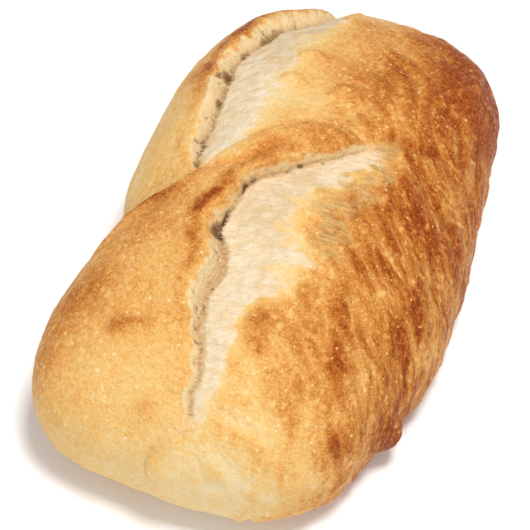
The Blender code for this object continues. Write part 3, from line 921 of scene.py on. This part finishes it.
def crust_finish():
    make = Finish("baked_crust")
    along_flank = make.drawn_out(FLANK_GRAIN, STREAK_STRETCH)
    fine = make.noise(FINE_STREAK_SIZE, detail=2, rough=0.6, place=along_flank)
    broad = make.noise(BROAD_STREAK_SIZE, detail=2, place=along_flank, warp=0.4)
    mottle = make.patches(make.noise(MOTTLE_SIZE, detail=4, rough=0.6), 0.16)
    near_fibres, far_fibres = (
        make.noise(0.9, detail=3, rough=0.6, place=make.drawn_out(grain, FIBRE_STRETCH), warp=0.6)
        for grain in (NEAR_GRAIN, FAR_GRAIN)
    )
    fibres = make.times(make.plus(near_fibres, far_fibres), 0.5)
    grains = make.noise(1.1, detail=4, rough=0.6)
    tear = make.less(make.plus(fibres, grains), 1)

    colour = browned_skin(make, mottle, fine, broad, along_flank)
    colour = thin_skin(make, colour, near_fibres)
    colour = torn_floor(make, colour, fibres)
    colour = torn_wall(make, colour, tear)
    make.give(make.shader.inputs["Base Color"], colour)

    # Dry crust with a little shine, and dull crumb.
    bake, crumb, wall = (make.field(name) for name in ("bake", "crumb", "wall"))
    dull = make.plus(ROUGHNESS, make.times(make.most(crumb, wall), CRUMB_ROUGHER))
    make.give(make.shader.inputs["Roughness"], make.plus(dull, make.times(mottle, MOTTLE_ROUGHER)))
    make.shader.inputs["Specular IOR Level"].default_value = SHINE
    make.shader.inputs["Specular Tint"].default_value = paint(*SHINE_COLOUR)

    # The finest relief, on top of what the mesh has: skin that ripples more where it is browner,
    # wrinkles on the flank, fibres and crumb.
    ripples = make.times(make.noise(4, detail=2), make.plus(0.2, make.times(bake, 0.8)))
    wrinkles = make.times(make.plus(fine, broad), make.field("flank"))
    relief = make.bump(make.noise(1.8, detail=6, rough=0.7), SKIN_RELIEF)
    relief = make.bump(ripples, RIPPLE_RELIEF, under=relief)
    relief = make.bump(wrinkles, STREAK_RELIEF, under=relief)
    relief = make.bump(make.times(fibres, crumb), FIBRE_RELIEF, under=relief)
    relief = make.bump(make.times(grains, wall), CRUMB_RELIEF, under=relief)
    make.give(make.shader.inputs["Normal"], relief)
    return make.material


loaf = build_loaf()
loaf.data.materials.append(crust_finish())
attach(loaf, "root")
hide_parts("loaf")


# ---- The fibres along the cracks ----
# Where each slash tore open, single strands of dough still stand out from the edge of the floor over
# its crack. They are thin dried crumb, grown on at one end and torn off at the other.

STRANDS = (("near_fringe", NEAR_GRAIN, 1100), ("far_fringe", FAR_GRAIN, 1400))
STRAND_LONG = (1.0 * MM, 3.4 * MM)
STRAND_RADIUS = 0.18 * MM
STRAND_RINGS = (0, 0.35, 0.7)  # how far along a strand its rings stand
STRAND_SIDES = 3
STRAND_SINK = 0.3 * MM
STRAND_RISE, STRAND_DROOP, STRAND_STRAY = 0.25, 0.35, 0.45
STRAND_COLOUR = (246, 222, 178)
STRAND_SEED = 5
FRINGE = 0.5  # strands grow where the fringe is stronger than this


def strand_points(root, way, length):
    """The rings and the tip of one tapered strand that starts at root and droops along its way."""
    side = np.cross(way, (0, 0, 1))
    side /= np.linalg.norm(side)
    over = np.cross(side, way)
    points = []
    for t in (*STRAND_RINGS, 1):
        middle = root + way * length * t - np.array([0, 0, STRAND_DROOP * length * t * t])
        if t == 1:
            points.append(middle)
            continue
        for k in range(STRAND_SIDES):
            turn = 2 * np.pi * k / STRAND_SIDES
            out = np.cos(turn) * side + np.sin(turn) * over
            points.append(middle + out * STRAND_RADIUS * (1 - t))
    return points


def strand_faces(start):
    """The faces of one strand whose points begin at start: its sides, and the point they end in."""
    faces = []
    tip = start + len(STRAND_RINGS) * STRAND_SIDES
    for ring in range(start, tip, STRAND_SIDES):
        for k in range(STRAND_SIDES):
            a, b = ring + k, ring + (k + 1) % STRAND_SIDES
            at_tip = ring + STRAND_SIDES == tip
            faces.append((a, b, tip) if at_tip else (a, b, b + STRAND_SIDES, a + STRAND_SIDES))
    return faces


def build_strands(crust):
    """All strands as one mesh, rooted at points of the crust picked by chance."""
    count = len(crust.vertices)
    places = np.zeros(count * 3)
    crust.vertices.foreach_get("co", places)
    places = places.reshape(-1, 3)
    outward = vertex_normals(crust)
    chance = np.random.default_rng(STRAND_SEED)
    points, faces = [], []
    for name, grain, number in STRANDS:
        edge = np.zeros(count)
        crust.attributes[name].data.foreach_get("value", edge)
        along_grain = np.cross(grain, (0, 0, 1)) / np.linalg.norm(grain)
        for root in chance.choice(np.nonzero(edge > FRINGE)[0], number):
            way = -along_grain + STRAND_RISE * outward[root] + STRAND_STRAY * chance.normal(size=3)
            way /= np.linalg.norm(way)
            length = STRAND_LONG[0] + (STRAND_LONG[1] - STRAND_LONG[0]) * chance.random() ** 2
            faces += strand_faces(len(points))
            points += strand_points(places[root] - outward[root] * STRAND_SINK, way, length)
    mesh = bpy.data.meshes.new("tear_strands")
    mesh.from_pydata([tuple(point) for point in points], [], faces)
    mesh.shade_smooth()
    fringe = bpy.data.objects.new("tear_strands", mesh)
    bpy.context.collection.objects.link(fringe)
    make = Finish("dried_strands")
    make.shader.inputs["Base Color"].default_value = paint(*STRAND_COLOUR)
    make.shader.inputs["Roughness"].default_value = 0.9
    make.shader.inputs["Specular IOR Level"].default_value = SHINE
    mesh.materials.append(make.material)
    return fringe


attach(build_strands(loaf.data), "root")


# ---- The floor ----
# A plain pale floor, painted matt, that the loaf stands on. It is one flat sheet, large enough to run
# out of every view.

FLOOR_HALF = 4.0
FLOOR_COLOUR = (252, 253, 254)


def build_floor():
    mesh = bpy.data.meshes.new("floor")
    corners = [(x * FLOOR_HALF, y * FLOOR_HALF, 0) for x, y in ((-1, -1), (1, -1), (1, 1), (-1, 1))]
    mesh.from_pydata(corners, [], [(0, 1, 2, 3)])
    floor = bpy.data.objects.new("floor", mesh)
    bpy.context.collection.objects.link(floor)
    painted = bpy.data.materials.new("pale_floor")
    painted.use_nodes = True
    shader = painted.node_tree.nodes["Principled BSDF"]
    shader.inputs["Base Color"].default_value = paint(*FLOOR_COLOUR)
    shader.inputs["Roughness"].default_value = 0.9
    mesh.materials.append(painted)
    return floor


build_floor()


# ---- The view ----
# The camera stands high above the near end of the loaf and a little to its right, far enough away
# that the loaf hardly narrows towards its far end. Its frame is square.

FRAME_PIXELS = 530
FOCAL_PIXELS = 2300
SENSOR_WIDTH = 36  # millimetres, as Blender counts lenses
CAMERA_TURN = np.radians(21)  # round from the loaf's near end towards its right side
CAMERA_RISE = np.radians(56)  # above the floor
CAMERA_AWAY = 950 * MM
CAMERA_AIM = Vector((-3.8, -17.9, 40)) * MM

camera = bpy.data.objects.new("camera", bpy.data.cameras.new("camera"))
bpy.context.collection.objects.link(camera)
camera.data.sensor_width = SENSOR_WIDTH
camera.data.lens = FOCAL_PIXELS / FRAME_PIXELS * SENSOR_WIDTH
camera.data.clip_end = 20
back = Vector((
    np.sin(CAMERA_TURN) * np.cos(CAMERA_RISE),
    -np.cos(CAMERA_TURN) * np.cos(CAMERA_RISE),
    np.sin(CAMERA_RISE),
))
camera.location = CAMERA_AIM + back * CAMERA_AWAY
camera.rotation_euler = (-back).to_track_quat("-Z", "Y").to_euler()
bpy.context.scene.camera = camera


# ---- The light ----
# A bright room, with one soft lamp overhead that shades the cracks, and a weaker, broader one behind
# the camera that fills them.

ROOM_LIGHT = 0.40
LAMPS = (
    ("overhead", (0.3, 0.05, 1.7), 0.4, 21.5),
    ("behind_camera", (0.2, -1.7, 1.1), 1.2, 10),
)

world = bpy.data.worlds.new("room")
world.use_nodes = True
world.node_tree.nodes["Background"].inputs["Color"].default_value = (1, 1, 1, 1)
world.node_tree.nodes["Background"].inputs["Strength"].default_value = ROOM_LIGHT
bpy.context.scene.world = world
for name, place, size, power in LAMPS:
    lamp = bpy.data.objects.new(name, bpy.data.lights.new(name, "AREA"))
    lamp.data.energy = power
    lamp.data.size = size
    lamp.location = place
    lamp.rotation_euler = (CAMERA_AIM - lamp.location).to_track_quat("-Z", "Y").to_euler()
    bpy.context.collection.objects.link(lamp)
bpy.context.scene.view_settings.view_transform = "Standard"
